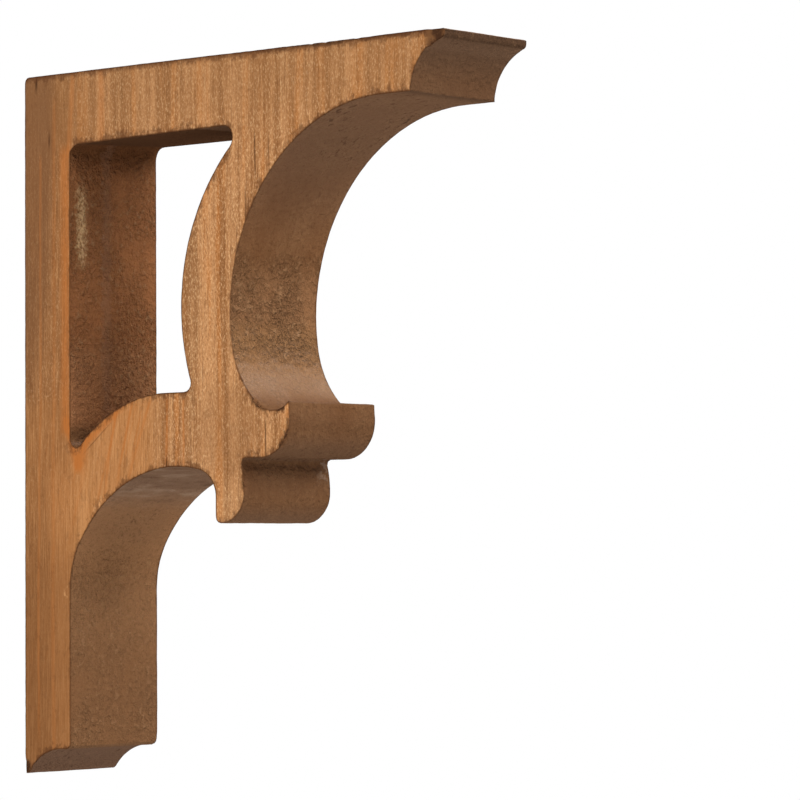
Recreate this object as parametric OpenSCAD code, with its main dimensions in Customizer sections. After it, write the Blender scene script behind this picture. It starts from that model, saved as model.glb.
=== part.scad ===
// Timber corbel bracket, sawn from one plank.
// The profile is drawn flat: x runs out from the wall, y runs down from the top
// of the bracket, which is at y = 0. It is then extruded across the thickness
// and stood up, with the wall face in the plane Y = 0 and the nose towards -Y.
// The origin is the middle of the wall face.

/* [Overall size] */
// How far the bracket stands out from the wall
projection = 403.2; // [330:0.1:500]
// Height of the wall face
height = 508; // [400:0.1:700]
// Thickness of the plank
thickness = 88.9; // [38:0.1:150]

/* [Frame] */
// Width of the upright post against the wall
post_w = 47.6; // [30:0.1:60]
// Clear width between the post and the curved rib, at its narrowest
window_w = 111.7; // [90:0.1:135]
// Width of the curved rib at its narrowest
rib_w = 48.5; // [30:0.1:60]
// Depth of the top bar above the window
bar_h = 50.8; // [38:0.1:62]
// Depth of the lower rail between the window and the lower arch
rail_h = 52.9; // [35:0.1:70]
// Rounding of the window's upper corners
top_corner_r = 8.5; // [4:0.5:12]
// Rounding of the window's lower corners
low_corner_r = 6; // [4:0.5:9]

/* [Curved rib] */
// How much larger the radius of the rib's back is than the big arch
rib_back_extra = 11.7; // [0:0.1:30]
// How far the centre of the rib's back sits above the centre of the big arch
rib_back_lift = 5.3; // [0:0.1:12]
// Radius of the arc along the foot of the window
sill_r = 127; // [110:0.5:180]
// Where that arc turns level, measured from the post
sill_crown = 97.5; // [80:0.5:110]
// How far the level part of the sill lies above the bottom of the hook
sill_lift = 15; // [5:0.1:30]

/* [Nose] */
// Depth of the arm just behind the nose
arm_h = 40.6; // [30:0.1:50]
// Level run of the arm between the big arch and the nose
arm_run = 25.6; // [5:0.1:40]
// How far the nose stands past the underside of the arm
nose_run = 29.1; // [20:0.1:36]
// Radius of the cove under the nose
cove_r = 37.1; // [30:0.1:42]
// Thickness of the lip at the end of the nose
lip_h = 5.1; // [2:0.1:8]

/* [Hook and beads] */
// Angle below level at which the big arch starts to tighten
tighten_angle = 9; // [4:1:20]
// Radius of the tighter stretch of the arch
tighten_r = 68; // [50:1:72]
// Radius of the hook at the end of the arch
hook_r = 22; // [15:0.5:24]
// Distance from the middle of the hook to the front of the upper bead
hook_back = 16; // [12:0.5:18]
// How far the upper bead stands past the back of the big arch
bead_run = 55.5; // [50:0.1:75]
// Depth of the upper bead
bead_h = 39.9; // [32:0.1:50]
// Radius of the quarter round under the upper bead
bead_r = 27; // [18:0.5:30]
// How far the lower bead stands past the back of the big arch
drop_run = 12.7; // [5:0.1:22]
// Thickness of the lower bead, front to back
drop_w = 27.9; // [25:0.1:40]
// Depth of the lower bead
drop_h = 45; // [36:0.1:60]
// Radius of the quarter round at the foot of the lower bead
drop_r = 22; // [16:0.5:24]
// Radius of the gentle bulge on the front of the lower bead
drop_bulge_r = 75; // [50:1:120]
// Rounding in the notch between the beads
notch_r = 3; // [1:0.5:5]
// Rounding at the heel of the lower bead
heel_r = 3; // [1:0.5:5]

/* [Lower arch] */
// Distance from the back of the lower bead to the crown of the arch
crown_back = 39.1; // [34:0.1:46]
// How far the main arc would run into the post if it went on
arch_overrun = 8.1; // [2:0.1:12]
// Radius of the haunch that brings the arch down the post
haunch_r = 62; // [40:0.5:68]
// Radius of the tight turn down the back of the lower bead
turn_r = 20; // [14:0.5:24]

/* [Foot] */
// Height of the foot moulding
foot_h = 18.6; // [14:0.1:26]
// Radius of the cove that runs back to the wall
foot_cove_r = 44.3; // [40:0.1:60]
// Distance from the wall to where the cove starts
foot_cove_run = 39.2; // [37:0.1:43]
// Rounding of the toe against the wall
toe_r = 5; // [2:0.5:8]
// Rounding of the post's lower front corner
shin_r = 5; // [1:0.5:6]

/* [Hidden] */
$fn = 96;

// Cuts run this far past the plank
over = 30;
// Cuts that meet inside the plank overlap by this much
lap = 3;

// Big arch
arch_r = projection - nose_run - arm_run - post_w - window_w - rib_w;
arch_c = [projection - nose_run - arm_run, -(arm_h + arch_r)];
arch_back = arch_c.x - arch_r;

// The arch tightens, then turns up in a small hook
tighten_dir = [-cos(tighten_angle), -sin(tighten_angle)];
tighten_start = arch_c + arch_r * tighten_dir;
tighten_c = arch_c + (arch_r - tighten_r) * tighten_dir;
bead_x = arch_back + bead_run;
hook_x = bead_x - hook_back;
hook_c = [hook_x, tighten_c.y - leg(tighten_r - hook_r, tighten_c.x - hook_x)];
hook_start = touch(tighten_c, tighten_r, hook_c);
hook_bottom = hook_c.y - hook_r;

// Beads
bead_top = hook_c.y - leg(hook_r, hook_back);
bead_bottom = bead_top - bead_h;
bead_c = [bead_x - bead_r, bead_bottom + bead_r];
drop_front = arch_back + drop_run;
drop_back = drop_front - drop_w;
drop_bottom = bead_bottom - drop_h;
drop_c = [drop_front - drop_r, drop_bottom + drop_r];
bulge_c = [drop_front - drop_bulge_r, drop_c.y];

// Window
window_top = -bar_h;
sill_y = hook_bottom + sill_lift;
rib_back_r = arch_r + rib_back_extra;
rib_back_c = [post_w + window_w + rib_back_r, arch_c.y + rib_back_lift];
sill_c = [post_w + sill_crown, sill_y - sill_r];

// Lower arch
crown_x = drop_back - crown_back;
lower_r = crown_x - post_w + arch_overrun;
lower_c = [crown_x, sill_y - rail_h - lower_r];
haunch_x = post_w + haunch_r;
haunch_c = [haunch_x, lower_c.y + leg(lower_r - haunch_r, crown_x - haunch_x)];
turn_x = drop_back - turn_r;
turn_c = [turn_x, lower_c.y + leg(lower_r - turn_r, turn_x - crown_x)];
haunch_start = touch(lower_c, lower_r, haunch_c);
turn_start = touch(lower_c, lower_r, turn_c);

// Foot
foot_y = foot_h - height;
foot_c = [foot_cove_run, foot_y - foot_cove_r];
toe_y = toe_r - height;
toe_c = [foot_c.x - leg(foot_cove_r + toe_r, toe_y - foot_c.y), toe_y];
toe_start = touch(foot_c, foot_cove_r, toe_c);

// Second leg of a right triangle, from its long side and its first leg
function leg(long_side, side) = sqrt(long_side * long_side - side * side);

// Point of the circle (c, r) that lies towards, or beyond, the point p
function touch(c, r, p) = c + r * (p - c) / norm(p - c);

// How far out a circle of radius r at height y touches the back of the rib
function beside_rib(r, y) = rib_back_c.x - leg(rib_back_r + r, y - rib_back_c.y);

// Rectangle given by two opposite corners
module box2(a, b) {
    translate([min(a.x, b.x), min(a.y, b.y)])
        square([abs(b.x - a.x), abs(b.y - a.y)]);
}

module disc(c, r) {
    translate(c) circle(r);
}

// What a rounding of radius r takes off a square corner; s points into the wood
module corner_off(corner, r, s) {
    difference() {
        box2(corner - lap * s, corner + r * s);
        disc(corner + r * s, r);
    }
}

// Everything in front of the rib: the big C-shaped arch and the space beyond the beads
module big_arch() {
    far = [projection + over, -height - over];
    intersection() {
        disc(arch_c, arch_r);
        box2([0, 0], [far.x, tighten_start.y]);
    }
    intersection() {
        disc(tighten_c, tighten_r);
        box2([0, tighten_c.y], [hook_c.x, hook_start.y]);
    }
    disc(hook_c, hook_r);
    box2([hook_c.x, hook_c.y], [far.x, arch_c.y + lap]);
    box2([arch_c.x, arch_c.y], [far.x, -arm_h]);
    box2([bead_x, arch_c.y], far);
}

// Cove under the lip of the nose
module nose_cove() {
    cove_c = [projection - nose_run + cove_r, -(lip_h + cove_r)];
    intersection() {
        disc(cove_c, cove_r);
        box2([0, 0], [cove_c.x + lap, -arm_h - lap]);
    }
    box2([cove_c.x, -lip_h], [max(cove_c.x, projection) + over, -arm_h - lap]);
}

// What is cut away around the two beads
module bead_shapes() {
    right = projection + over;
    difference() {
        box2(bead_c, [right, bead_bottom - lap]);
        disc(bead_c, bead_r);
    }
    difference() {
        box2([drop_c.x, bead_bottom], [right, -height - over]);
        disc(drop_c, drop_r);
        intersection() {
            disc(bulge_c, drop_bulge_r);
            box2([drop_c.x, bead_bottom + over], [right, drop_c.y]);
        }
        notch_fillet();
    }
    box2([drop_back - lap, drop_bottom], [right, -height - over]);
    corner_off([drop_back, drop_bottom], heel_r, [1, 1]);
}

// Wood left in the corner of the notch between the beads
module notch_fillet() {
    fillet_c = [bulge_c.x + leg(drop_bulge_r + notch_r, bead_bottom - notch_r - drop_c.y),
                bead_bottom - notch_r];
    difference() {
        box2([fillet_c.x - 2 * notch_r, bead_bottom + lap], fillet_c);
        disc(fillet_c, notch_r);
    }
}

// Three-centred arch between the post and the lower bead
module lower_arch() {
    low = -height - over;
    intersection() {
        disc(lower_c, lower_r);
        box2([haunch_start.x, 0], [turn_start.x, haunch_c.y - lap]);
    }
    disc(haunch_c, haunch_r);
    disc(turn_c, turn_r);
    box2([haunch_c.x, haunch_c.y - lap], [turn_c.x, turn_c.y - turn_r]);
    box2([post_w, haunch_c.y], [turn_c.x + lap, low]);
    box2([turn_c.x, turn_c.y], [drop_back, low]);
}

// Ogee that runs back from the post's foot to the wall
module foot_moulding() {
    low = -height - over;
    disc(foot_c, foot_cove_r);
    box2([foot_c.x, foot_y], [post_w + over, low]);
    difference() {
        box2([toe_c.x, low], [foot_c.x, toe_start.y]);
        disc(toe_c, toe_r);
        box2([0, toe_start.y], [toe_c.x, -height]);
    }
    corner_off([post_w, foot_y], shin_r, [-1, 1]);
}

// Window between the post, the bar, the rib and the rail, with rounded corners
module window() {
    top_left = [post_w + top_corner_r, window_top - top_corner_r];
    top_right = [beside_rib(top_corner_r, top_left.y), top_left.y];
    low_right = [beside_rib(low_corner_r, sill_y + low_corner_r), sill_y + low_corner_r];
    low_left_x = post_w + low_corner_r;
    low_left = [low_left_x, sill_c.y + leg(sill_r + low_corner_r, low_left_x - sill_c.x)];
    rib_high = touch(rib_back_c, rib_back_r, top_right);
    rib_low = touch(rib_back_c, rib_back_r, low_right);
    sill_left = touch(sill_c, sill_r, low_left);
    difference() {
        polygon([[post_w, top_left.y], [top_left.x, window_top], [top_right.x, window_top],
                 rib_high, rib_low, [low_right.x, sill_y], [sill_c.x, sill_y],
                 sill_left, [post_w, low_left.y]]);
        disc(rib_back_c, rib_back_r);
        disc(sill_c, sill_r);
    }
    disc(top_left, top_corner_r);
    disc(top_right, top_corner_r);
    disc(low_right, low_corner_r);
    disc(low_left, low_corner_r);
}

module profile() {
    difference() {
        box2([0, 0], [projection, -height]);
        big_arch();
        nose_cove();
        bead_shapes();
        lower_arch();
        foot_moulding();
        window();
    }
}

module corbel() {
    color("peru")
        rotate([90, 0, -90])
            translate([0, height / 2, -thickness / 2])
                linear_extrude(thickness)
                    profile();
}

corbel();
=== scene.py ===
# %% [markdown]
# # A timber corbel bracket
#
# A corbel carries a shelf or a beam off a wall. This one is sawn from one thick softwood plank whose grain
# stands upright: a post lies against the wall, a curved rib springs from it to the nose, and a window is cut
# out between them. The plank was sawn, routed, sanded and then stained, so its two broad faces show open
# vertical grain while the narrow cut surfaces, which drink more stain, are darker and smoother.
#
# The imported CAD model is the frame. It says how large the bracket is and where it stands, and the mesh
# below is drawn inside it.

# %% Load the frame
from math import atan2, cos, radians, sin, sqrt, tau

import bmesh
import bpy
from mathutils import Matrix, Vector, noise
from mathutils.bvhtree import BVHTree


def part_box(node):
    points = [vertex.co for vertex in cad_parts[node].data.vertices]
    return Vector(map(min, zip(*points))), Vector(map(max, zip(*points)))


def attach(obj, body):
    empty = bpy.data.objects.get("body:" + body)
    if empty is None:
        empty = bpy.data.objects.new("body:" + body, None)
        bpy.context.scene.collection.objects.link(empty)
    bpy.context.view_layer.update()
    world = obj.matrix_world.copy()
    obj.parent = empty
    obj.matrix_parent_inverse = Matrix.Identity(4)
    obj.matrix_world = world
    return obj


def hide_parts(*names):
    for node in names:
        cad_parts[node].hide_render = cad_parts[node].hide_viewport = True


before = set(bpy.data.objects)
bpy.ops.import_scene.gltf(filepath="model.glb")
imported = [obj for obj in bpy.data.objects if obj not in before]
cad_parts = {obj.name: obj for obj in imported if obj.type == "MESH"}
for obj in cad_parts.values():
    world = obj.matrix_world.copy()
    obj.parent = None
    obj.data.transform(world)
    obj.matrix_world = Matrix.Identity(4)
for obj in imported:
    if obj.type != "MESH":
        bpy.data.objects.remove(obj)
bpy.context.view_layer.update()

low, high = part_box("corbel")
size = high - low
print("bracket in mm, across, out and up:", [round(1000 * s, 1) for s in size])

# %% [markdown]
# ## Setting out
#
# A joiner sets this profile out flat, with a rule and a compass. The drawing here does the same: `out` runs
# from the wall towards the nose, `up` is measured from the top of the bracket, so it is negative, and every
# curve is part of a circle. Only a few sizes are chosen. The rest follow from arcs touching each other.

# %% Sizes of the profile
MM = 0.001
projection = size.y
height = size.z

post_w = 47.6 * MM
window_w = 111.7 * MM
rib_w = 48.5 * MM
bar_h = 50.8 * MM
rail_h = 52.9 * MM
top_corner_r = 8.5 * MM
low_corner_r = 6 * MM

rib_back_extra = 11.7 * MM
rib_back_lift = 5.3 * MM
sill_r = 127 * MM
sill_crown = 97.5 * MM
sill_lift = 15 * MM

arm_h = 40.6 * MM
arm_run = 25.6 * MM
nose_run = 29.1 * MM
cove_r = 37.1 * MM
lip_h = 5.1 * MM

tighten_angle = radians(9)
tighten_r = 68 * MM
hook_r = 22 * MM
hook_back = 16 * MM
bead_run = 55.5 * MM
bead_h = 39.9 * MM
bead_r = 27 * MM
drop_run = 12.7 * MM
drop_w = 27.9 * MM
drop_h = 45 * MM
drop_r = 22 * MM
drop_bulge_r = 75 * MM
notch_r = 3 * MM
heel_r = 5 * MM

crown_back = 39.1 * MM
arch_overrun = 8.1 * MM
haunch_r = 62 * MM
turn_r = 20 * MM

foot_h = 18.6 * MM
foot_cove_r = 44.3 * MM
foot_cove_run = 39.2 * MM
toe_r = 5 * MM
shin_r = 5 * MM
print("profile", round(projection / MM, 1), "mm out and", round(height / MM, 1), "mm high")


# %% Compass helpers
def at(out, up):
    """A point of the flat drawing."""
    return Vector((out, up))


def leg(long_side, side):
    """Second leg of a right triangle, from its long side and its first leg."""
    return sqrt(long_side * long_side - side * side)


def touch(centre, radius, towards):
    """Where a circle meets the line from its centre towards a point. A radius below 0 gives the far side."""
    return centre + radius * (towards - centre).normalized()


def place(point, x=low.x):
    """The flat drawing stood up on the near face."""
    return Vector((x, high.y - point.x, high.z + point.y))


print("top of the nose is at", [round(c, 4) for c in place(at(projection, 0))])

# %% Centres of the arcs
arch_r = projection - nose_run - arm_run - post_w - window_w - rib_w
arch_c = at(projection - nose_run - arm_run, -(arm_h + arch_r))
arch_back = arch_c.x - arch_r

tighten_dir = at(-cos(tighten_angle), -sin(tighten_angle))
tighten_start = arch_c + arch_r * tighten_dir
tighten_c = arch_c + (arch_r - tighten_r) * tighten_dir
bead_x = arch_back + bead_run
hook_x = bead_x - hook_back
hook_c = at(hook_x, tighten_c.y - leg(tighten_r - hook_r, tighten_c.x - hook_x))
hook_start = touch(tighten_c, tighten_r, hook_c)

bead_top = hook_c.y - leg(hook_r, hook_back)
bead_bottom = bead_top - bead_h
bead_c = at(bead_x - bead_r, bead_bottom + bead_r)
drop_front = arch_back + drop_run
drop_back = drop_front - drop_w
drop_bottom = bead_bottom - drop_h
drop_c = at(drop_front - drop_r, drop_bottom + drop_r)
bulge_c = at(drop_front - drop_bulge_r, drop_c.y)
notch_y = bead_bottom - notch_r
notch_c = at(bulge_c.x + leg(drop_bulge_r + notch_r, notch_y - drop_c.y), notch_y)

cove_c = at(projection - nose_run + cove_r, -(lip_h + cove_r))
lip_low = at(projection, cove_c.y + leg(cove_r, cove_c.x - projection))
cove_end = at(cove_c.x - leg(cove_r, cove_c.y + arm_h), -arm_h)

sill_y = hook_c.y - hook_r + sill_lift
crown_x = drop_back - crown_back
lower_r = crown_x - post_w + arch_overrun
lower_c = at(crown_x, sill_y - rail_h - lower_r)
haunch_x = post_w + haunch_r
haunch_c = at(haunch_x, lower_c.y + leg(lower_r - haunch_r, crown_x - haunch_x))
turn_x = drop_back - turn_r
turn_c = at(turn_x, lower_c.y + leg(lower_r - turn_r, turn_x - crown_x))

foot_y = foot_h - height
foot_c = at(foot_cove_run, foot_y - foot_cove_r)
toe_c = at(foot_c.x - leg(foot_cove_r + toe_r, toe_r - height - foot_c.y), toe_r - height)

rib_back_r = arch_r + rib_back_extra
rib_back_c = at(post_w + window_w + rib_back_r, arch_c.y + rib_back_lift)
sill_c = at(post_w + sill_crown, sill_y - sill_r)


def beside_rib(radius, up):
    """Centre of a circle at that height that touches the back of the rib."""
    return at(rib_back_c.x - leg(rib_back_r + radius, up - rib_back_c.y), up)


window_left = post_w + low_corner_r
corner_a = at(post_w + top_corner_r, -bar_h - top_corner_r)
corner_b = beside_rib(top_corner_r, corner_a.y)
corner_c = beside_rib(low_corner_r, sill_y + low_corner_r)
corner_d = at(window_left, sill_c.y + leg(sill_r + low_corner_r, window_left - sill_c.x))
print("big arch radius", round(arch_r / MM, 1), "mm, lower arch radius", round(lower_r / MM, 1), "mm")
print("top corner of the upper bead:", [round(c / MM, 1) for c in (bead_x, bead_top)], "mm")

# %% [markdown]
# ## Drawing the outline
#
# One vertex is the pencil. A straight line drags a copy of it with `extrude_vert_indiv`, and a curve swings
# it round a centre with `spin`, which gives true arcs at any fineness. Sharp corners are then eased with a
# vertex bevel, as a few strokes of sandpaper ease them on the bench.

# %% A pencil that draws lines and arcs
ARC_STEP = 2.4 * MM
TOUCHING = 0.05 * MM
TO_THE_LEFT = 1
TO_THE_RIGHT = -1


class Pencil:
    """Draws an outline on the near face, seen from outside it, with the nose to the right."""

    def __init__(self, mesh, start):
        self.mesh = mesh
        self.here = start
        self.first = mesh.verts.new(place(start))
        self.tip = self.first
        self.soft = []

    def line(self, end, ease=0):
        """Draws straight to a point. A corner there with an ease gets rounded by that much later."""
        self.tip = bmesh.ops.extrude_vert_indiv(self.mesh, verts=[self.tip])["verts"][0]
        bmesh.ops.translate(self.mesh, verts=[self.tip], vec=place(end) - self.tip.co)
        self.mark(end, ease)

    def arc(self, centre, end, turn, ease=0):
        """Swings round a centre until it points at the end."""
        a = self.here - centre
        b = end - centre
        sweep = turn * (atan2(b.y, b.x) - atan2(a.y, a.x)) % tau
        steps = max(2, round(sweep * a.length / ARC_STEP))
        swung = bmesh.ops.spin(self.mesh, geom=[self.tip], cent=place(centre), axis=(-1, 0, 0),
                               angle=turn * sweep, steps=steps)
        self.tip = swung["geom_last"][0]
        self.mark(touch(centre, a.length, end), ease)

    def mark(self, end, ease):
        self.here = end
        if ease:
            self.soft.append((self.tip, ease))

    def close(self):
        """Joins the last vertex to the first, and eases the corners that were marked."""
        gap = (self.tip.co - self.first.co).length
        if gap < TOUCHING:
            bmesh.ops.pointmerge(self.mesh, verts=[self.tip, self.first], merge_co=self.first.co)
        else:
            bmesh.ops.contextual_create(self.mesh, geom=[self.tip, self.first])
        for corner, ease in self.soft:
            bmesh.ops.bevel(self.mesh, geom=[corner], offset=ease, segments=3, profile=0.5,
                            affect="VERTICES", material=-1)


def draw_outside(mesh):
    """The outside of the profile, from the top of the wall out to the nose and back down to the foot."""
    pen = Pencil(mesh, at(0, -height / 2))
    pen.line(at(0, 0), ease=4.5 * MM)
    pen.line(at(projection, 0), ease=1.2 * MM)
    pen.line(lip_low, ease=3 * MM)
    pen.arc(cove_c, cove_end, TO_THE_LEFT)
    pen.line(at(arch_c.x, -arm_h))
    pen.arc(arch_c, tighten_start, TO_THE_LEFT)
    pen.arc(tighten_c, hook_start, TO_THE_LEFT)
    pen.arc(hook_c, at(bead_x, bead_top), TO_THE_LEFT, ease=3 * MM)
    pen.line(at(bead_x, bead_c.y))
    pen.arc(bead_c, at(bead_c.x, bead_bottom), TO_THE_RIGHT)
    pen.line(at(notch_c.x, bead_bottom))
    pen.arc(notch_c, touch(notch_c, notch_r, bulge_c), TO_THE_LEFT)
    pen.arc(bulge_c, at(drop_front, drop_c.y), TO_THE_RIGHT)
    pen.arc(drop_c, at(drop_c.x, drop_bottom), TO_THE_RIGHT)
    pen.line(at(drop_back + heel_r, drop_bottom))
    pen.arc(at(drop_back + heel_r, drop_bottom + heel_r), at(drop_back, drop_bottom + heel_r), TO_THE_RIGHT)
    pen.line(at(drop_back, turn_c.y))
    pen.arc(turn_c, touch(lower_c, lower_r, turn_c), TO_THE_LEFT)
    pen.arc(lower_c, touch(lower_c, lower_r, haunch_c), TO_THE_LEFT)
    pen.arc(haunch_c, at(post_w, haunch_c.y), TO_THE_LEFT)
    pen.line(at(post_w, foot_y + shin_r))
    pen.arc(at(post_w - shin_r, foot_y + shin_r), at(post_w - shin_r, foot_y), TO_THE_RIGHT)
    pen.line(at(foot_c.x, foot_y))
    pen.arc(foot_c, touch(foot_c, foot_cove_r, toe_c), TO_THE_LEFT)
    pen.arc(toe_c, at(toe_c.x, -height), TO_THE_RIGHT)
    pen.line(at(0, -height), ease=1.2 * MM)
    pen.close()


def draw_window(mesh):
    """The window between post, bar, rib and rail."""
    pen = Pencil(mesh, at(post_w, corner_a.y))
    pen.arc(corner_a, at(corner_a.x, -bar_h), TO_THE_RIGHT)
    pen.line(at(corner_b.x, -bar_h))
    pen.arc(corner_b, touch(corner_b, top_corner_r, rib_back_c), TO_THE_RIGHT)
    pen.arc(rib_back_c, touch(rib_back_c, rib_back_r, corner_c), TO_THE_LEFT)
    pen.arc(corner_c, at(corner_c.x, sill_y), TO_THE_RIGHT)
    pen.line(at(sill_c.x, sill_y))
    pen.arc(sill_c, touch(sill_c, sill_r, corner_d), TO_THE_LEFT)
    pen.arc(corner_d, at(post_w, corner_d.y), TO_THE_RIGHT)
    pen.close()


plank = bmesh.new()
draw_outside(plank)
draw_window(plank)
print("outline drawn with", len(plank.verts), "vertices and", len(plank.edges), "edges")

# %% How far the drawing lies from the CAD solid
cad_mesh = bmesh.new()
cad_mesh.from_mesh(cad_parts["corbel"].data)
cad_skin = BVHTree.FromBMesh(cad_mesh)
cad_mesh.free()
strays = [cad_skin.find_nearest(v.co)[3] for v in plank.verts]
print("farthest outline vertex from the CAD skin:", round(max(strays) / MM, 2), "mm")

# %% [markdown]
# ## From outline to plank
#
# `triangle_fill` closes the outline with long triangles. They would shade badly and can't carry any relief,
# so their edges are marked as seams, planes cut the sheet into small squares, and the seams are dissolved
# again. What is left is an even net that follows the outline. A narrow inset first gives the rim a ring of
# its own, which later holds the eased edge.

# %% Fill the outline and cut it into an even net
RIM = 1.6 * MM
CELL = 2.5 * MM


def slices(start, end, step):
    """Evenly spaced places between two ends."""
    count = int((end - start) / step)
    return [start + (end - start) * (i + 0.5) / count for i in range(count)]


def cut(mesh, point, normal):
    """Cuts every face that a plane crosses."""
    everything = mesh.verts[:] + mesh.edges[:] + mesh.faces[:]
    bmesh.ops.bisect_plane(mesh, geom=everything, plane_co=point, plane_no=normal, dist=0.02 * MM)


bmesh.ops.triangle_fill(plank, use_beauty=True, edges=plank.edges[:])
for edge in plank.edges:
    edge.seam = len(edge.link_faces) == 2
bmesh.ops.inset_region(plank, faces=plank.faces[:], thickness=RIM, use_boundary=True, use_even_offset=True)
for y in slices(low.y, high.y, CELL):
    cut(plank, (0, y, 0), (0, 1, 0))
for z in slices(low.z, high.z, CELL):
    cut(plank, (0, 0, z), (0, 0, 1))
bmesh.ops.dissolve_edges(plank, edges=[e for e in plank.edges if e.seam], use_verts=True)
print("near face has", len(plank.faces), "cells")

# %% Give it its thickness
ROWS = 34
made = bmesh.ops.extrude_face_region(plank, geom=plank.faces[:])
far_verts = [g for g in made["geom"] if isinstance(g, bmesh.types.BMVert)]
bmesh.ops.translate(plank, verts=far_verts, vec=(size.x, 0, 0))
bmesh.ops.recalc_face_normals(plank, faces=plank.faces[:])
crossing = [e for e in plank.edges if abs(e.verts[0].co.x - e.verts[1].co.x) > size.x / 2]
bmesh.ops.subdivide_edges(plank, edges=crossing, cuts=ROWS, use_grid_fill=True)
print("plank has", len(plank.faces), "faces,", sum(len(f.verts) - 2 for f in plank.faces), "triangles")

# %% [markdown]
# ## Working the wood
#
# A real bracket has no perfect plane and no knife-sharp edge. Sanding rounds each arris a little and not
# evenly, the router leaves the cut surfaces faintly uneven, and brittle stained edges lose splinters. All of
# that is done here as a carver does it, by taking wood away: every vertex may only move inwards.
#
# `across` is how deep a point lies below the nearest broad face, and `inside` is how deep it lies behind the
# outline. An edge wears along a curve that joins the two.

# %% Even out the rows, with two close rows along each edge
EDGE_ROWS = [0, 0.5 * MM, 1.6 * MM]
inner_rows = ROWS + 2 - 2 * len(EDGE_ROWS)
inner_span = size.x - 2 * EDGE_ROWS[-1]
row_depths = EDGE_ROWS + [EDGE_ROWS[-1] + inner_span * (i + 1) / (inner_rows + 1) for i in range(inner_rows)]
row_depths += [size.x - depth for depth in reversed(EDGE_ROWS)]
for v in plank.verts:
    row = round((v.co.x - low.x) / size.x * (ROWS + 1))
    v.co.x = low.x + row_depths[row]
print("rows across the thickness, in mm:", [round(d / MM, 1) for d in row_depths[:5]], "...")

# %% [markdown]
# ## Chips and flakes
#
# Stained softwood is brittle along a cut edge, so splinters have come away from both beads and from the top
# edge, and the near face has flaked at the tip of the nose and at the toe. A chip is an oval that makes the
# eased edge deeper where it lies. A flake is a soft step in the broad face with a frayed rim. Each is placed
# on the flat drawing, in millimetres.

# %% Chips and splinters, each where it is on the bracket
NEAR = low.x
FAR = high.x


def flat(point):
    """Where a point of the bracket lies on the flat drawing."""
    return at(high.y - point.y, point.z - high.z)


def smooth(share):
    """Eases a share from 0 to 1 at both ends."""
    share = min(1, max(0, share))
    return share * share * (3 - 2 * share)


class Chip:
    """A place on an edge where splinters have come away, reaching deeper than ordinary wear."""

    def __init__(self, out, up, long, tall, depth, face=NEAR):
        self.centre = at(out * MM, up * MM)
        self.spread = at(long * MM, tall * MM)
        self.depth = depth * MM
        self.face = face

    def bite(self, point):
        """How deep this chip reaches at a point of the edge."""
        if abs(point.x - self.face) > size.x / 2:
            return 0
        gap = flat(point) - self.centre
        reach = 1 - (gap.x / self.spread.x) ** 2 - (gap.y / self.spread.y) ** 2
        return self.depth * max(0, reach) ** 0.5


chips = [
    Chip(232, -247, 13, 7, 2.6),
    Chip(221, -299, 5, 9, 2.6),
    Chip(256, -262, 9, 22, 2.2),
    Chip(300, 0, 60, 4, 1.8),
    Chip(230, 0, 40, 4, 1.5),
    Chip(402, -3, 9, 9, 1.9, FAR),
    Chip(bead_x / MM, bead_top / MM, 12, 12, 1.95, FAR),
    Chip(drop_front / MM - 8, drop_bottom / MM + 3, 20, 12, 1.9, FAR),
    Chip(47, -488, 12, 10, 1.95, FAR),
]
print(len(chips), "chips, the deepest", max(c.depth for c in chips) / MM, "mm")

# %% Flakes that have split off the near face
NOSE_FLAKE = 2.4 * MM
NOSE_FLAKE_START = 388.5 * MM
NOSE_FLAKE_LOW = -14.5 * MM
TOE_FLAKE = 0.9 * MM
TOE_SPLIT = at(9 * MM, -502 * MM)
TOE_SLOPE = at(0.62, 0.78)


def flake(point):
    """How deep the near face has flaked away, at the tip of the nose and at the toe by the wall."""
    here = flat(point)
    fray = 1.5 * MM * noise.noise(point / (4 * MM))
    nose = (here.x - NOSE_FLAKE_START + fray) / (2.5 * MM)
    toe = (TOE_SPLIT - here).dot(TOE_SLOPE) / (3 * MM) + fray / (3 * MM)
    depth = NOSE_FLAKE * smooth(nose) * smooth((here.y - NOSE_FLAKE_LOW) / (3 * MM))
    depth = max(depth, TOE_FLAKE * smooth(toe))
    return depth * (1 + 0.35 * noise.noise(point / (5 * MM) + Vector((9, 9, 9))))


print("the nose has lost", round(flake(place(at(398 * MM, -4 * MM))) / MM, 1), "mm of its near face")

# %% How much an edge has worn at a point
WEAR = 0.9 * MM
DEEP_CUT = 2 * MM
ARRIS_SHARE = 0.3


def rough(point, grain, seed=0):
    """Smooth noise from -1 to 1, with lumps of that size in metres."""
    return noise.noise(point / grain + Vector((seed, 2 * seed, 3 * seed)))


def worn_radius(point):
    """Radius of the eased edge: a sanded rounding that wanders, and any chip."""
    sanded = WEAR * (1 + 0.35 * rough(point, 22 * MM, 1) + 0.3 * rough(point, 5 * MM, 2))
    splinter = max(chip.bite(point) for chip in chips)
    ragged = 1 + 0.45 * rough(point, 3.5 * MM, 3) * (point.x < 0)
    return max(sanded, splinter * ragged)


def shave(radius, depth):
    """How deep an edge of that radius is cut at a given depth from its corner. Deep cuts are flatter."""
    if depth >= radius:
        return 0
    power = 2 if radius < DEEP_CUT else 1.15
    return radius * (1 - (1 - (1 - depth / radius) ** power) ** (1 / power))


print("wear 0.5 mm from a 1.2 mm edge:", round(shave(1.2 * MM, 0.5 * MM) / MM, 2), "mm")

# %% [markdown]
# ## Hollows and wrinkles
#
# The cut surfaces were sanded by hand after routing, which leaves them gently hollow. On the big arch above
# its hook, and less so down the leg, the coat also dried into wrinkles like orange peel. The wide ones are
# cut into the mesh here, so that they show from every side, and the finish adds the fine ones. The broad
# faces are flatter, and their hollows run long and shallow with the grain.

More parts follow.
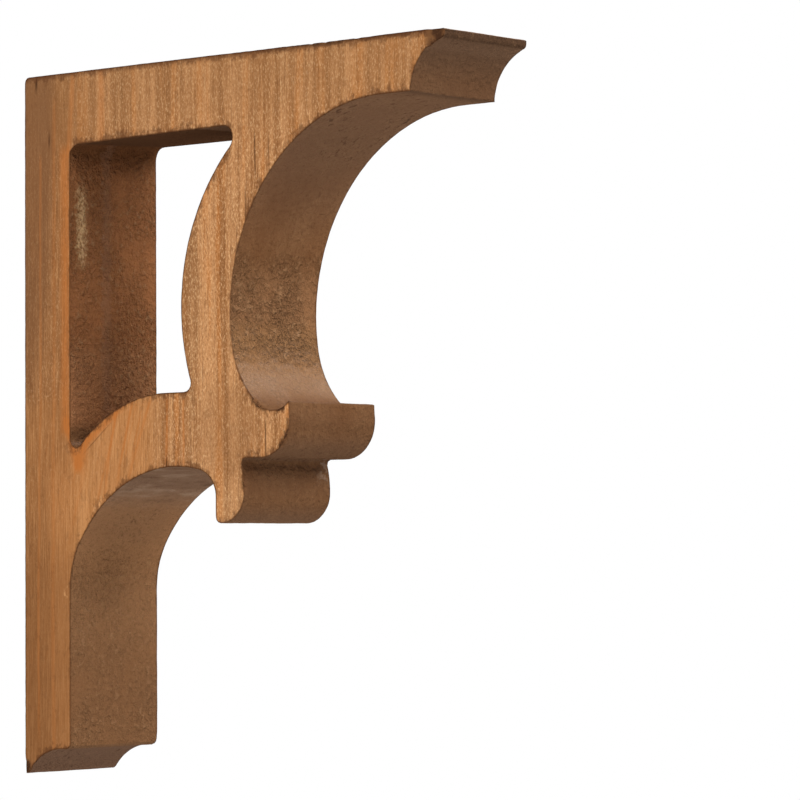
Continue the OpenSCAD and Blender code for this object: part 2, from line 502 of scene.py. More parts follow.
# %% How uneven each surface is
def within(here, centre, reach):
    """1 in the middle of an oval patch of the flat drawing, in mm, falling to 0 at its rim."""
    aside = (here.x / MM - centre[0]) / reach[0]
    along = (here.y / MM - centre[1]) / reach[1]
    return smooth(1.4 * (1 - aside * aside - along * along))


def wrinkled(point):
    """Where the cut surface is wrinkled: on the big arch above its hook, and less so down the leg."""
    here = flat(point)
    arch = within(here, (196, -182), (40, 60))
    leg = within(here, (48, -410), (14, 105)) * smooth((point.x + 10 * MM) / (25 * MM))
    return max(arch, 0.6 * leg)


def unevenness(point, wall):
    """Depth of the shallow hollows that hand sanding leaves on a cut surface or a broad face."""
    if wall:
        sanded = 0.18 * (1 + rough(point, 26 * MM, 4)) + 0.14 * (1 + rough(point, 6 * MM, 5))
        return MM * (sanded + 0.75 * wrinkled(point) * (0.6 + rough(point, 4.6 * MM, 8)))
    stretched = Vector((point.x, point.y, point.z / 9))
    return MM * (0.07 * (1 + rough(stretched, 9 * MM, 6)) + 0.05 * (1 + rough(point, 40 * MM, 7)))


ROLL = 1.8 * MM
ROLL_TOP = -70 * MM
ROLL_FOOT = -225 * MM


def roll(point):
    """How far the post's side of the window rolls back at its near edge, where it was sanded hardest."""
    here = flat(point)
    beside = smooth(1 - abs(here.x - post_w) / (4 * MM))
    along = smooth((here.y - ROLL_FOOT) / (50 * MM)) * smooth((ROLL_TOP - here.y) / (30 * MM))
    return ROLL * beside * along * smooth(1 - (point.x - low.x) / (20 * MM))


print("hollow on the big arch:", round(unevenness(place(tighten_start), True) / MM, 2), "mm deep")

# %% [markdown]
# ## Taking the wood away
#
# Each vertex moves inwards by all that was worked out above, added up. The mesh also carries four marks for
# the finishes: `edge` is 1 on an arris, `bleed` is 1 where end grain meets the face, `torn` is 1 where wood
# has come away, and `level` says how far a surface faces up or down.

# %% Marks for the finishes
edge_mark = plank.verts.layers.float.new("edge")
torn_mark = plank.verts.layers.float.new("torn")
bleed_mark = plank.verts.layers.float.new("bleed")
level_mark = plank.verts.layers.float.new("level")
EDGE_BAND = 2.8 * MM
BLEED_BAND = 7 * MM
print("marks on the mesh:", plank.verts.layers.float.keys())

# %% Take the wood away
walls = [f for f in plank.faces if abs(f.normal.x) < 0.5]
skin_points = [v.co.copy() for v in plank.verts]
outline_skin = BVHTree.FromPolygons(skin_points, [[v.index for v in f.verts] for f in walls])
plank.normal_update()
moves = {}
for v in plank.verts:
    point = v.co.copy()
    across = min(point.x - low.x, high.x - point.x)
    face_in = Vector((1 if point.x < 0 else -1, 0, 0))
    wall_in = Vector((0, -v.normal.y, -v.normal.z))
    wall_point, inside = outline_skin.find_nearest(point)[::3]
    on_wall = inside < TOUCHING and wall_in.length > 0.3
    to_wall = wall_in if on_wall else wall_point - point
    radius = worn_radius(point)
    move = Vector()
    if on_wall and across == 0:
        move = shave(radius, ARRIS_SHARE * radius) * (face_in + wall_in.normalized())
    elif on_wall:
        move = (shave(radius, across) + unevenness(point, True) + roll(point)) * wall_in.normalized()
    else:
        move = (shave(radius, inside) + unevenness(point, False)) * face_in
    lost = flake(point) if point.x < 0 else 0
    move.x += lost * smooth(1 - across / (9 * MM))
    moves[v] = move
    nearest_edge = max(across, inside)
    v[edge_mark] = max(0, 1 - nearest_edge / EDGE_BAND)
    v[bleed_mark] = abs(to_wall.normalized().z) * max(0, 1 - inside / BLEED_BAND)
    v[level_mark] = v.normal.z
    splinter = max(chip.bite(point) for chip in chips)
    torn = splinter > 1.5 * MM and nearest_edge < splinter and point.x < 0
    v[torn_mark] = 1 if torn or lost > 0.3 * MM and across < 1 * MM else 0
for v, move in moves.items():
    v.co += move
print("deepest wood taken away:", round(max(m.length for m in moves.values()) / MM, 1), "mm")

# %% [markdown]
# ## The window's ceiling is not quite square
#
# The saw wandered as it cut the top of the window. On the near face its edge runs lower towards the wall,
# and on the far face the whole edge is a little higher. A soft push, which fades out above and below, tilts
# that surface without a new part.

# %% Tilt the window's ceiling
CEILING_FADE = 15 * MM
FAR_RISE = 1.9 * MM
NEAR_DROP = 2.6 * MM
tilts = []
for v in plank.verts:
    here = flat(v.co)
    from_wall = smooth((here.x - post_w + 6 * MM) / (8 * MM))
    to_rib = smooth((corner_b.x + 20 * MM - here.x) / (12 * MM))
    fade = smooth(1 - abs(here.y + bar_h) / CEILING_FADE) * (from_wall * to_rib)
    towards_wall = 1 - (here.x - post_w) / (corner_b.x - post_w)
    through = (v.co.x - low.x) / size.x
    tilts.append(fade * (through * FAR_RISE - (1 - through) * NEAR_DROP * towards_wall))
    v.co.z += tilts[-1]
print("ceiling moved by", round(min(tilts) / MM, 1), "to", round(max(tilts) / MM, 1), "mm")

# %% [markdown]
# ## Surfaces
#
# The broad faces and the cut surfaces take a different finish, so each face of the mesh is given one of two
# materials by the way it points.

# %% Make the bracket's mesh
bmesh.ops.recalc_face_normals(plank, faces=plank.faces[:])
for f in plank.faces:
    f.smooth = True
    f.material_index = 0 if abs(f.normal.x) > 0.7 else 1
mesh = bpy.data.meshes.new("carved_corbel")
plank.to_mesh(mesh)
bracket = bpy.data.objects.new("carved_corbel", mesh)
bpy.context.scene.collection.objects.link(bracket)
open_edges = sum(len(e.link_faces) != 2 for e in plank.edges)
print("mesh has", sum(len(f.verts) - 2 for f in plank.faces), "triangles and", open_edges, "open edges")
plank.free()

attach(bracket, "root")
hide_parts("corbel")

# %% [markdown]
# ## Writing shaders as sums
#
# A material is a chain of nodes, but it reads better as arithmetic. `Wire` stands for the output of a node
# and knows how to add, subtract, multiply and divide, so that `1 - mask` makes the Math node by itself.
# `Finish` holds one material and makes every other kind of node. `Timber` is a finish for the bracket: it
# knows where a point lies on the flat drawing, and it keeps the colour that has been built up so far.

# %% A wire that can be used in sums
class Wire:
    """The output of a shader node, which can be used in sums like a number."""

    def __init__(self, finish, socket):
        self.finish = finish
        self.socket = socket

    def __add__(self, other):
        return self.finish.maths("ADD", self, other)

    def __sub__(self, other):
        return self.finish.maths("SUBTRACT", self, other)

    def __rsub__(self, other):
        return self.finish.maths("SUBTRACT", other, self)

    def __mul__(self, other):
        return self.finish.maths("MULTIPLY", self, other)

    def __truediv__(self, other):
        return self.finish.maths("DIVIDE", self, other)

    __radd__ = __add__
    __rmul__ = __mul__


# %% A finish, which is one material
class Finish:
    """One material, with a method for each kind of node that it needs."""

    def __init__(self, name, material=None):
        self.material = material or bpy.data.materials.new(name)
        self.material.use_nodes = True
        self.tree = self.material.node_tree
        self.tree.nodes.clear()
        self.place = None if material else self.node("ShaderNodeTexCoord", out="Object")

    def node(self, kind, settings=None, out=0, **sockets):
        """Makes a node. Sockets go by name, where _ stands for a space, or by number, as in i0."""
        made = self.tree.nodes.new(kind)
        for key, value in (settings or {}).items():
            setattr(made, key, value)
        for key, value in sockets.items():
            key = int(key[1:]) if key[1:].isdigit() else key.replace("_", " ")
            self.feed(made.inputs[key], value)
        return Wire(self, made.outputs[out]) if made.outputs else None

    def feed(self, socket, value):
        """Links a wire to a socket, or sets the socket's own value."""
        if isinstance(value, Wire):
            self.tree.links.new(value.socket, socket)
        else:
            socket.default_value = value

    def maths(self, operation, a, b=0.0):
        return self.node("ShaderNodeMath", {"operation": operation}, i0=a, i1=b)

    def ramp(self, value, start, end, low=0.0, high=1.0):
        """Rises smoothly from low to high while a value goes from start to end."""
        return self.node("ShaderNodeMapRange", {"interpolation_type": "SMOOTHSTEP"}, Value=value,
                         From_Min=start, From_Max=end, To_Min=low, To_Max=high)

    def mix(self, share, a, b):
        """Mixes two colours."""
        return self.node("ShaderNodeMix", {"data_type": "RGBA"}, out=2, i0=share, i6=a, i7=b)


# %% A finish that knows the bracket
class Timber(Finish):
    """A finish that knows where a point lies on the flat drawing, and keeps its colour so far."""

    def __init__(self, name):
        super().__init__(name)
        split = self.node("ShaderNodeSeparateXYZ", Vector=self.place).socket.node
        self.x, y, self.z = [Wire(self, output) for output in split.outputs]
        self.out = high.y - y
        self.up = self.z - high.z
        self.colour = None

    def noise(self, vector, scale=1.0, detail=2.0, roughness=0.5):
        return self.node("ShaderNodeTexNoise", Vector=vector, Scale=scale, Detail=detail,
                         Roughness=roughness)

    def grain(self, x, y, z, detail=2.0, roughness=0.5, shift=None):
        """Noise with that many lumps to a metre along each axis, so that it can be longer one way."""
        moved = self.place
        if shift:
            moved = self.node("ShaderNodeVectorMath", {"operation": "ADD"}, i0=moved, i1=shift)
        scaled = self.node("ShaderNodeVectorMath", {"operation": "MULTIPLY"}, i0=moved, i1=(x, y, z))
        return self.noise(scaled, 1.0, detail, roughness)

    def patch(self, centre, reach):
        """1 in the middle of an oval patch of the flat drawing, in mm, fading to 0 at its rim."""
        aside = (self.out - centre[0] * MM) / (reach[0] * MM)
        along = (self.up - centre[1] * MM) / (reach[1] * MM)
        return self.ramp(aside * aside + along * along, 1.0, 0.25)

    def mark(self, name):
        """One of the marks that the mesh carries."""
        return self.node("ShaderNodeAttribute", {"attribute_name": name}, out="Fac")

    def stain(self, share, colour):
        """Lays a colour over the colour so far, as strongly as its share says."""
        self.colour = self.mix(share, self.colour, colour)

    def seal(self, relief, depth, strength, roughness, coat):
        """Ends the chain in bare wood, which is quite dull. All its gloss comes from the varnish coat."""
        normal = self.node("ShaderNodeBump", Height=relief, Distance=depth, Strength=strength)
        shader = self.node("ShaderNodeBsdfPrincipled", Base_Color=self.colour, Roughness=roughness,
                           Normal=normal, IOR=1.4, Specular_IOR_Level=0.0, Coat_Weight=coat,
                           Coat_Roughness=0.4)
        self.node("ShaderNodeOutputMaterial", Surface=shader)
        return self.material


# %% Colours as they look
def paint(red, green, blue):
    """A colour as it looks, from 0 to 255, turned into the light it sends back."""
    def linear(c):
        c /= 255
        return c / 12.92 if c <= 0.04045 else ((c + 0.055) / 1.055) ** 2.4
    return (linear(red), linear(green), linear(blue), 1)


print("mid-brown stain reflects", [round(c, 3) for c in paint(176, 122, 74)])

# %% [markdown]
# ## The grain of the broad faces
#
# The plank is plain-sawn softwood with its grain upright. Soft early wood drinks the stain and turns brown,
# and hard late wood stays orange. Noise that is stretched a long way upwards gives such bands, and a slow
# `sway` keeps anything that is placed by rule from looking ruled.

# %% Bands of early and late wood
face = Timber("stained_face")
sway = face.grain(6, 6, 5) - 0.5
bands = face.grain(30, 110, 2.5, detail=3, roughness=0.6)
hues = face.grain(30, 62, 3.5, detail=3, roughness=0.65, shift=(3.0, 5.0, 1.0))
face.colour = face.mix(face.ramp(bands, 0.36, 0.64), paint(146, 97, 58), paint(192, 138, 91))
face.stain(face.ramp(hues, 0.52, 0.66) * 0.6, paint(190, 120, 62))
face.stain(face.ramp(hues, 0.44, 0.34) * 0.45, paint(146, 104, 68))
print("bands of grain use", len(face.tree.nodes), "nodes")

# %% [markdown]
# ## Smooth post and rail, sawn bar and rib
#
# The post and the rail under the window were sanded smooth, and the rail's grain leans over in a fan. Bar
# and rib still have the sawn surface, where torn fibres stand up; the light they catch is painted in as pale
# flecks, and their dark side as painted shade. Two masks say where the wood is smooth, and `furry` is
# what they leave.

# %% Smooth post and rail
FAN_LEAN = 0.3
FAN_START = 240 * MM
smooth_post = face.ramp(face.out + sway * 0.02, 62 * MM, 42 * MM)
smooth_rail = face.ramp(face.out + sway * 0.03, 150 * MM, 120 * MM)
smooth_rail = smooth_rail * face.ramp(face.up, -228 * MM, -242 * MM)
leaning_out = face.out - (face.up + FAN_START) * FAN_LEAN
leaning = face.node("ShaderNodeCombineXYZ", X=face.x * 0.3, Y=leaning_out * 0.2, Z=face.z * 0.008)
fan = face.noise(leaning, scale=1000.0, detail=3, roughness=0.6)
light_side = face.ramp(face.up, -250 * MM, -320 * MM)
light_side = light_side * face.ramp(face.out + sway * 0.03, 20 * MM, 42 * MM)
face.stain(smooth_rail * 0.75, paint(180, 122, 72))
face.stain(face.ramp(fan, 0.56, 0.66) * smooth_rail * 0.45, paint(182, 108, 52))
face.stain(face.ramp(fan, 0.47, 0.38) * smooth_rail * 0.2, paint(206, 152, 100))
face.stain(smooth_post * 0.75, paint(140, 93, 55))
face.stain(light_side * smooth_post * 0.6, paint(190, 128, 76))
print("smooth post and rail bring it to", len(face.tree.nodes), "nodes")

# %% Standing fibres
fibres = face.grain(300, 1000, 45, detail=3, roughness=0.6)
flecks = face.grain(400, 850, 430, detail=3, roughness=0.75)
shade = face.grain(16, 16, 9, detail=3)
furry = 1 - face.maths("MAXIMUM", smooth_post * 0.55, smooth_rail * 0.8)
# Painted highlights and painted shade: pale flecks where standing fibres catch the light, dark flecks on
# their shaded side.
face.stain(face.ramp(flecks, 0.5, 0.68) * furry * 0.65, paint(232, 188, 138))
face.stain(face.ramp(flecks, 0.48, 0.32) * furry * 0.55, paint(112, 72, 42))
face.stain(face.ramp(fibres, 0.5, 0.68) * 0.35, paint(206, 150, 98))
face.stain(face.ramp(fibres, 0.48, 0.32) * 0.4, paint(116, 74, 42))
face.stain(face.ramp(shade, 0.5, 0.75) * 0.4, paint(134, 88, 52))
print("standing fibres bring it to", len(face.tree.nodes), "nodes")

# %% Duller and lighter places
dull_bar = face.ramp(face.up, -80 * MM, -20 * MM)
light_drop = face.patch((205, -322), (30, 30))
dull_hub = face.patch((205, -262), (36, 42))
dull_post = face.patch((4, -40), (34, 230))
low_post = face.ramp(face.up, -300 * MM, -380 * MM) * smooth_post
face.stain(dull_bar * 0.35, paint(146, 104, 66))
face.stain(light_drop * 0.12, paint(222, 172, 122))
face.stain(dull_hub * 0.3, paint(140, 96, 60))
face.stain(dull_post * 0.6, paint(116, 80, 54))
face.stain(low_post * 0.45, paint(120, 78, 46))
print("uneven stain brings it to", len(face.tree.nodes), "nodes")

# %% [markdown]
# ## Growth lines, cracks and knots
#
# The growth lines run straight up the face, except below the window, where they close in a narrow V: the
# cathedral figure that shows where the saw just misses the heart of the log. Noise can't be told to do that,
# so the lines that stand out are placed one by one, each as a straight streak that wanders a little. Drying
# cracks are the same thing, only thinner and darker.

# %% Growth lines that can be told apart by eye
class Streak:
    """One growth line or crack on the broad faces: its two ends, its width and how strongly it shows."""

    def __init__(self, top, foot, width, strength):
        self.top = at(*top) * MM
        self.foot = at(*foot) * MM
        self.width = width * MM
        self.strength = strength

    def mask(self, wander):
        """1 on the line, fading to 0 across its width and past its ends."""
        slope = (self.foot.x - self.top.x) / (self.foot.y - self.top.y)
        middle = (face.up - self.top.y) * slope + self.top.x
        off = face.maths("ABSOLUTE", face.out - middle + wander)
        across_line = face.ramp(off, self.width, self.width * 0.1)
        fade = 6 * MM
        past_top = face.ramp(face.up, self.top.y + fade, self.top.y - fade)
        past_foot = face.ramp(face.up, self.foot.y - fade, self.foot.y + fade)
        return across_line * past_top * past_foot * self.strength


late_wood = [
    Streak((51, 10), (46, -60), 4.0, 0.35),
    Streak((42, -55), (43, -262), 8.0, 0.62),
    Streak((45, -252), (56, -288), 6.5, 0.8),
    Streak((68, -252), (57, -288), 7.5, 0.8),
    Streak((101, -243), (62, -271), 9.0, 0.75),
    Streak((79, 10), (79, -58), 5.0, 0.35),
    Streak((97, -236), (82, -312), 2.2, 0.45),
    Streak((112, -236), (96, -300), 2.0, 0.35),
    Streak((129, -238), (107, -298), 2.2, 0.45),
    Streak((145, -238), (144.5, -290), 1.9, 0.55),
    Streak((161, -238), (161, -292), 1.9, 0.45),
    Streak((17, -60), (15, -480), 2.0, 0.3),
    Streak((31, -20), (30, -500), 3.0, 0.25),
]
cracks = [
    Streak((231, -58), (231.5, -86), 0.9, 0.7),
    Streak((244, -60), (244, -78), 0.9, 0.55),
    Streak((240, -256), (240.5, -283), 0.9, 0.8),
    Streak((145, -281), (144.5, -290), 1.2, 0.9),
    Streak((12.5, -1), (12, -10), 1.8, 0.9),
    Streak((26, -45), (26, -51), 1.6, 0.8),
    Streak((222, -95), (222, -120), 0.9, 0.6),
    Streak((87, -257), (65, -274), 1.3, 0.4),
]
print(len(late_wood), "growth lines and", len(cracks), "cracks and ticks are placed by hand")

# %% Stain them in
wander = sway * 0.006 + (face.grain(30, 30, 30) - 0.5) * 0.002
late = sum(streak.mask(wander) for streak in late_wood)
late = face.maths("MINIMUM", late, 0.9) * face.ramp(fibres, 0.25, 0.6, 0.5, 1.0)
knots = face.patch((75, -312), (9, 10)) + face.patch((45, -378), (6, 10))
knots = knots * face.ramp(face.grain(300, 300, 220, detail=3), 0.48, 0.62)
knots = knots * face.ramp(face.x, 10 * MM, -10 * MM)
crack = sum(streak.mask(wander * 0.3) for streak in cracks)
face.stain(late, paint(182, 107, 50))
face.stain(knots * 0.4, paint(226, 170, 114))
face.stain(face.maths("MINIMUM", crack, 0.9), paint(62, 38, 24))
print("lines and knots bring it to", len(face.tree.nodes), "nodes")

# %% [markdown]
# ## Where the faces drank more stain
#
# End grain under the top and round each arch has sucked stain a few millimetres into the face, so it is
# ragged and dark there. Worn edges and torn wood drank it too. The marks on the mesh say where, and a rough
# noise frays them.

# %% Dark edges of the faces
ragged = face.grain(120, 150, 110, detail=5, roughness=0.72)
bleed = face.mark("bleed") - face.ramp(ragged, 0.35, 0.65, 0.0, 0.95)
dark_edge = face.mark("edge") - ragged * 0.8
top_line = face.ramp(face.up + (ragged - 0.5) * 0.016, -4 * MM, -1 * MM)
top_line = top_line * face.ramp(face.out, 160 * MM, 270 * MM, 0.35, 0.85)
torn_wood = face.mix(face.ramp(ragged, 0.4, 0.62), paint(62, 40, 27), paint(108, 73, 46))
face.stain(face.ramp(bleed, -0.25, 0.45) * 0.65, paint(92, 56, 34))
face.stain(face.ramp(dark_edge, -0.05, 0.45) * 0.75, paint(86, 54, 34))
face.stain(top_line, paint(78, 47, 30))
face.stain(face.mark("torn") * 0.9, torn_wood)
print("dark edges bring it to", len(face.tree.nodes), "nodes")

# %% Finish the faces
face_relief = fibres * 0.5 + flecks * furry * 0.8 - crack * 1.5
mesh.materials.append(face.seal(face_relief, depth=0.4 * MM, strength=0.8, roughness=0.6, coat=0.0))
print("face finish has", len(face.tree.nodes), "nodes")

# %% [markdown]
# ## The cut surfaces
#
# Saw and router cut across the fibres here, so the stain went in deep and dark, and the grain hardly shows.
# What shows instead is how the surface was worked. A noise that is folded at its middle gives the creases
# of orange peel, and `peel` says how strongly the surface is wrinkled at each place.

# %% Stain and wrinkles on the cuts
cuts = Timber("stained_cut")
lumps = cuts.grain(210, 210, 210, detail=4, roughness=0.6)
folds = cuts.grain(175, 175, 175, detail=3, roughness=0.6)
wrinkles = cuts.maths("ABSOLUTE", folds - 0.5)
pores = cuts.grain(700, 700, 400, detail=2, roughness=0.6)
cloud = cuts.grain(22, 22, 14, detail=4, roughness=0.6)
fibre_ends = cuts.grain(240, 240, 14, detail=3)
level = cuts.mark("level")
underside = cuts.ramp(level, -0.25, -0.9)
hook_painted_sheen = cuts.patch((200, -222), (38, 42))
peel = cuts.patch((196, -178), (40, 52)) * 0.9 + cuts.patch((48, -150), (12, 125)) * 0.7
peel = peel + cuts.patch((48, -420), (14, 90)) * 0.35
peel = (peel + 0.15) * cuts.ramp(cloud, 0.36, 0.58, 0.25, 1.1)
peel = peel + hook_painted_sheen * 0.25
crease_shade = cuts.ramp(wrinkles, 0.045, 0.0) * peel
cuts.colour = cuts.mix(cuts.ramp(cloud, 0.3, 0.7), paint(114, 76, 48), paint(134, 95, 64))
cuts.stain(cuts.ramp(fibre_ends, 0.45, 0.75) * 0.35, paint(100, 65, 40))
# Painted light: surfaces that face down are greyed as if lit by light bounced up from the floor.
cuts.stain(underside * 0.6, paint(122, 94, 74))
print("stain and wrinkles use", len(cuts.tree.nodes), "nodes")

# %% [markdown]
# ## One surface after another
#
# The cut runs round the whole outline, and no two stretches of it took the stain alike: the leg and the
# middle of the big arch are paler, the window's side is warm and orange, and nose and beads are dark. Some
# tones are painted light and shade instead: the haunch is lightened where the lower arch shades it, the
# foot's moulding is greyed by painted light bounced from the floor, and the nose's cove and lip are evened
# out with painted light and shade.
# So each stretch gets its own tone, through a mask that is written as places on the flat drawing.

# %% Leg, arches and window
off_wall = cuts.ramp(cuts.out, 36 * MM, 44 * MM)
on_post = cuts.ramp(cuts.out, 62 * MM, 50 * MM) * off_wall
leg_front = on_post * cuts.ramp(cuts.up, -290 * MM, -340 * MM)
low_leg = on_post * cuts.ramp(cuts.up, -410 * MM, -470 * MM)
haunch = cuts.patch((58, -340), (52, 88)) * cuts.ramp(cuts.up, -262 * MM, -268 * MM) * off_wall
mid_arch = cuts.patch((196, -186), (40, 54))
in_window = on_post * cuts.ramp(cuts.up, -262 * MM, -250 * MM) * cuts.ramp(cuts.up, -40 * MM, -50 * MM)
window_foot = cuts.patch((48, -240), (12, 50)) * in_window
cuts.stain(leg_front * 0.45, paint(152, 109, 74))
cuts.stain(low_leg * 0.28, paint(92, 62, 40))
# Painted light: the top of the leg and the haunch, which the lower arch shades, are lightened.
cuts.stain(haunch * 0.5, paint(166, 120, 82))
cuts.stain(mid_arch * 0.5, paint(160, 116, 80))
cuts.stain(in_window * 0.85, paint(166, 108, 68))
cuts.stain(window_foot * 0.3, paint(196, 140, 98))
print("leg, arches and window bring it to", len(cuts.tree.nodes), "nodes")

# %% Beads, nose and foot
facing_out = cuts.ramp(level, 0.7, 0.3)
beads = cuts.patch((236, -290), (60, 52))
bead_front = cuts.patch((264, -250), (12, 20))
nose = cuts.ramp(cuts.out, projection - nose_run - 20 * MM, projection - nose_run) * facing_out
cove_top = cuts.patch((projection / MM - 4, -8), (16, 12)) * facing_out
lip = cuts.ramp(cuts.out, projection - 4 * MM, projection - 1 * MM) * facing_out
foot = cuts.ramp(cuts.up, foot_y + 2 * MM, foot_y - 2 * MM) * cuts.ramp(cuts.out, 1 * MM, 4 * MM)
cuts.stain(beads * 0.5, paint(92, 64, 44))
cuts.stain(bead_front * 0.3, paint(80, 54, 36))
cuts.stain(nose * 0.6, paint(82, 61, 46))
# Painted light and shade: the top of the cove, which turns down from the lamps, is lightened, and the lip
# above it, which faces them, is darkened.
cuts.stain(cove_top * 0.4, paint(122, 93, 72))
cuts.stain(lip * 0.85, paint(72, 52, 38))
# Painted light: the foot's moulding is greyed as if lit by light bounced up from the floor.
cuts.stain(foot * 0.6, paint(108, 83, 68))
print("beads, nose and foot bring it to", len(cuts.tree.nodes), "nodes")

# %% Creases, lumps and pores
dark_streak = cuts.ramp(cuts.grain(260, 90, 260, detail=3, roughness=0.7), 0.56, 0.66)
dark_streak = dark_streak * cuts.ramp(cloud, 0.42, 0.55) * underside
cuts.stain(dark_streak * 0.6, paint(66, 45, 34))
# Painted sheen: the hook's surface is lightened as if it shone under the lamps above; a little real coat is
# added there in the finish.
cuts.stain(hook_painted_sheen * 0.5, paint(166, 120, 74))
# Painted shade darkens the creases of the orange peel, and painted highlights lighten the tops of the lumps.
cuts.stain(crease_shade * 0.46, paint(52, 33, 21))
cuts.stain(cuts.ramp(lumps, 0.52, 0.7) * peel * 0.55, paint(184, 140, 100))
cuts.stain(cuts.ramp(pores, 0.44, 0.3) * 0.3, paint(76, 49, 32))
print("creases, lumps and pores bring it to", len(cuts.tree.nodes), "nodes")

# %% Window's ceiling, edges and torn wood
under_bar = cuts.ramp(cuts.up, -bar_h - 26 * MM, -bar_h - 2 * MM)
ceiling = under_bar * cuts.ramp(cuts.up, -bar_h + 14 * MM, -bar_h + 8 * MM)
ceiling = ceiling * cuts.ramp(cuts.out, 182 * MM, 172 * MM) * off_wall
dark_arris = cuts.mark("edge") - lumps * 0.8
# Partly real, partly painted shade: the ceiling's end grain drank more stain, and the window's sides darken
# towards the ceiling as painted shade under the bar.
cuts.stain(ceiling * 0.7, paint(76, 46, 26))
cuts.stain(cuts.ramp(dark_arris, 0.1, 0.5) * 0.6, paint(66, 42, 27))
cuts.stain(cuts.mark("torn") * 0.5, paint(112, 74, 46))
print("ceiling and edges bring it to", len(cuts.tree.nodes), "nodes")

# %% [markdown]
# ## Varnish, and painted glints on the cuts
#
# The varnish was sprayed from the front and above: what faces up or out has a satin coat, and undersides
# stay dull. Beside the window's near edge a pale line is a painted glint laid over a coat, and at the far
# side of the notch pale specks are painted sheen. Under the lower arch the grey, with light and dark
# streaks, is painted light bounced from the floor and painted glints.

# %% Painted glints, sheen and bounce light
GLINT_START = low.x + 6 * MM
GLINT_END = low.x + 19 * MM
swell = (lumps - 0.5) * 0.02
window_glint = cuts.patch((post_w / MM, -112), (6, 34))
window_glint = window_glint * cuts.ramp(cuts.x + swell, GLINT_START, GLINT_START + 6 * MM)
window_glint = window_glint * cuts.ramp(cuts.x + swell, GLINT_END, GLINT_END - 6 * MM) * cuts.ramp(pores, 0.35, 0.6, 0.2, 1.0)
notch_sheen = cuts.patch((218, -290), (12, 12)) * cuts.ramp(cuts.x, high.x - 16 * MM, high.x - 6 * MM)
notch_sheen = notch_sheen * cuts.ramp(lumps, 0.5, 0.58)
from_band = cuts.maths("ABSOLUTE", cuts.x + swell - (low.x + 37 * MM))
pale_band = cuts.ramp(from_band, 7 * MM, 1 * MM) * in_window
glint_streaks = cuts.grain(30, 110, 110, detail=4, roughness=0.6)
arch_end = cuts.patch((126, -288), (72, 46)) * cuts.ramp(level, -0.1, -0.85)
# Painted highlight: a pale glint down the window's side near its near edge, where the rolled edge catches
# the light; a coat is laid there too.
cuts.stain(window_glint * 0.9, paint(222, 180, 126))
# Painted highlight: a pale band down the window's side, as if a ridge there caught the light.
cuts.stain(pale_band * 0.3, paint(150, 112, 88))
# Painted light: the underside at the end of the lower arch is greyed as if by light bounced from the floor,
# with painted light and dark glint streaks across it.
cuts.stain(arch_end * 0.5, paint(134, 106, 86))
cuts.stain(cuts.ramp(glint_streaks, 0.48, 0.68) * arch_end * 0.4, paint(170, 144, 120))
cuts.stain(cuts.ramp(glint_streaks, 0.48, 0.32) * arch_end * 0.35, paint(76, 52, 38))
# Painted highlight: pale specks at the far side of the notch where the coat would shine; a thin real coat is
# laid there too.
cuts.stain(notch_sheen * 0.4, paint(140, 112, 88))
print("runs, drops and smears bring it to", len(cuts.tree.nodes), "nodes")

# %% Finish the cuts
cut_relief = cuts.ramp(wrinkles, 0.0, 0.2) * peel * 1.2 + lumps * (peel * 3 + 1.8) + pores * 0.3
varnish = cuts.ramp(level, -0.35, 0.5, 0.0, 0.12) * cuts.ramp(cloud, 0.35, 0.6, 0.6, 1.0)
coat = cuts.maths("MINIMUM", varnish + window_glint * 0.6 + notch_sheen * 0.4 + hook_painted_sheen * 0.1, 1.0)
mesh.materials.append(cuts.seal(cut_relief, depth=2 * MM, strength=1.0, roughness=0.7, coat=coat))
print("cut finish has", len(cuts.tree.nodes), "nodes")

# %% [markdown]
# ## Camera and floor
#
# The bracket is fixed by its wall face, so it hangs a little above the floor. The camera stands to its near
# side and looks slightly up, with a long lens that keeps the upright lines upright. The floor is made white
# by what the camera sees of it, and not by more light, so it still takes the bracket's soft shadow.

# %% Camera
LENS = 175.856
SENSOR = 36
camera_data = bpy.data.cameras.new("camera")
camera_data.lens = LENS
camera_data.sensor_width = SENSOR
camera = bpy.data.objects.new("camera", camera_data)
bpy.context.scene.collection.objects.link(camera)
stand = Vector((-2.0079, -2.0837, -0.0957))
heading, tilt, lean = radians(41.212 - 90), radians(90 + 2.2555), radians(-0.2614)
aim = Matrix.Rotation(heading, 4, "Z") @ Matrix.Rotation(tilt, 4, "X") @ Matrix.Rotation(lean, 4, "Z")
camera.matrix_world = Matrix.Translation(stand) @ aim
bpy.context.scene.camera = camera
print("camera stands", round(stand.length, 2), "m from the bracket")

# %% Floor
FLOOR_DROP = 0.3
floor_mesh = bmesh.new()
bmesh.ops.create_grid(floor_mesh, x_segments=1, y_segments=1, size=30)
bmesh.ops.translate(floor_mesh, verts=floor_mesh.verts[:], vec=(0, 0, low.z - FLOOR_DROP))
floor_data = bpy.data.meshes.new("floor")
floor_mesh.to_mesh(floor_data)
floor_mesh.free()
floor = bpy.data.objects.new("floor", floor_data)
bpy.context.scene.collection.objects.link(floor)


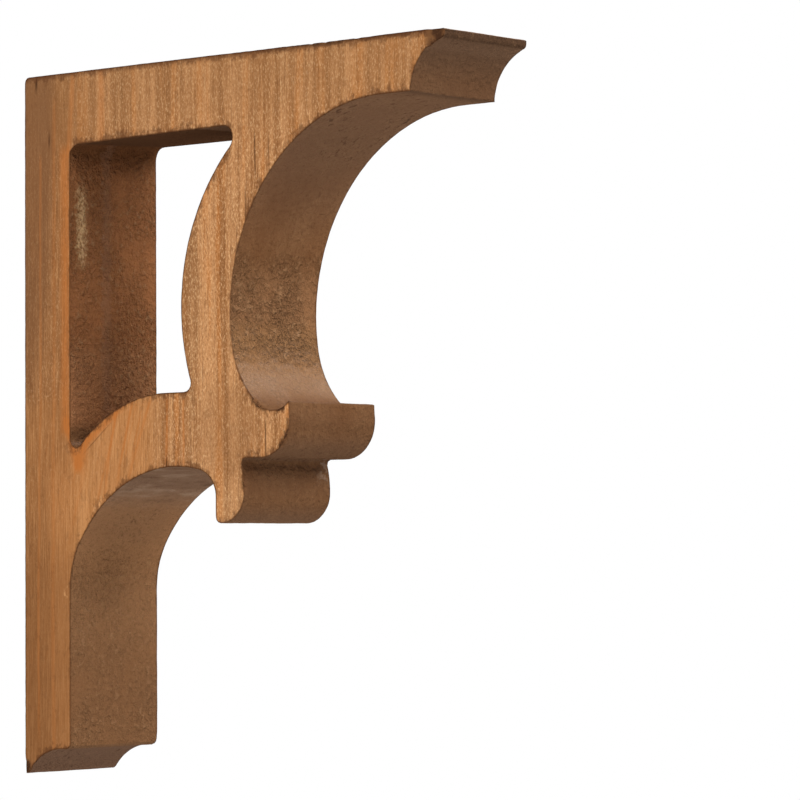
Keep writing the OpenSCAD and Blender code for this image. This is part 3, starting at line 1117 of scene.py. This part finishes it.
def pale_floor():
    """A pale matt floor that the camera sees near white, and that still shows the shadow."""
    finish = Finish("pale_floor")
    seen = finish.node("ShaderNodeLightPath", out="Is Camera Ray")
    away = finish.node("ShaderNodeVectorMath", {"operation": "LENGTH"}, out="Value", i0=finish.place)
    seen = seen * finish.ramp(away, 1.0, 4.0, 0.75, 1.0)
    lit = finish.node("ShaderNodeBsdfDiffuse", Color=(0.86, 0.86, 0.86, 1))
    glow = finish.node("ShaderNodeEmission", Color=(1, 1, 1, 1), Strength=1.0)
    both = finish.node("ShaderNodeMixShader", i0=seen, i1=lit, i2=glow)
    finish.node("ShaderNodeOutputMaterial", Surface=both)
    return finish.material


floor_data.materials.append(pale_floor())
print("floor lies", FLOOR_DROP, "m below the bracket")

# %% [markdown]
# ## Light
#
# Stained wood shows its relief under soft light from one side and loses it under a flat one. So the sky is
# kept low, and three soft lamps do the work: the first from the near side, the next from the front for the
# cut surfaces, and a weaker one from the far side.

# %% Sky
AMBIENT = 0.3


def pale_sky():
    """Soft light from all round. Where it is seen, or mirrored in the varnish, it is plain white."""
    sky = Finish("studio", bpy.data.worlds.new("studio"))
    rays = sky.node("ShaderNodeLightPath").socket.node.outputs
    seen = Wire(sky, rays["Is Camera Ray"]) + Wire(sky, rays["Is Glossy Ray"])
    seen = sky.maths("MINIMUM", seen + Wire(sky, rays["Is Transmission Ray"]), 1.0)
    light = sky.node("ShaderNodeBackground", Color=(1, 1, 1, 1), Strength=AMBIENT)
    white = sky.node("ShaderNodeBackground", Color=(1, 1, 1, 1), Strength=1.0)
    both = sky.node("ShaderNodeMixShader", i0=seen, i1=light, i2=white)
    sky.node("ShaderNodeOutputWorld", Surface=both)
    return sky.material


bpy.context.scene.world = pale_sky()
bpy.context.scene.view_settings.view_transform = "Standard"
print("sky gives", AMBIENT, "of full light")


# %% Soft lamps
def softbox(name, spot, width, tall, watts, aim_at=(0, -0.2, 0)):
    """A large rectangular lamp that looks at the bracket."""
    lamp_data = bpy.data.lights.new(name, "AREA")
    lamp_data.shape = "RECTANGLE"
    lamp_data.size = width
    lamp_data.size_y = tall
    lamp_data.energy = watts
    lamp = bpy.data.objects.new(name, lamp_data)
    lamp.location = spot
    lamp.rotation_euler = (Vector(aim_at) - Vector(spot)).to_track_quat("-Z", "Y").to_euler()
    bpy.context.scene.collection.objects.link(lamp)
    return lamp


softbox("key", (-2.0, -0.2, 0.9), 1.6, 1.6, 31)
softbox("front", (0.1, -2.0, 1.1), 1.4, 1.0, 38)
softbox("far", (1.7, -0.7, 1.5), 1.2, 0.8, 22)
